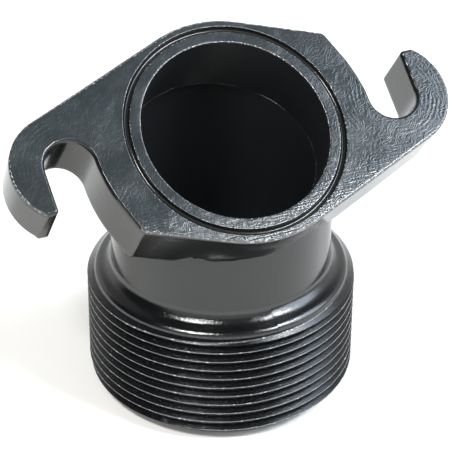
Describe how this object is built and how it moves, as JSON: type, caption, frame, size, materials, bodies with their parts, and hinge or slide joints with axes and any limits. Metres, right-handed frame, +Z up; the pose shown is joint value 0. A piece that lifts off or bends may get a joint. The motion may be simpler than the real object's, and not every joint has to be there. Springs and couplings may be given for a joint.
{
  "type": "quarter turn hose coupling",
  "caption": "One-piece angled coupling: hooked oval flange with a grooved sealing face on a short elbow neck over a male pipe thread.",
  "frame": {"origin": "centre of the threaded end's bottom face, on the thread axis", "axes": "+Z up the thread axis towards the flange, +X along the line through both hooks, -Y the way the sealing face leans"},
  "size_m": [0.0998, 0.0596, 0.0807],
  "materials": {
    "black_paint": "gloss black paint over machined cast steel"
  },
  "bodies": {
    "root": {"coupling_body": "black_paint"}
  },
  "joints": []
}
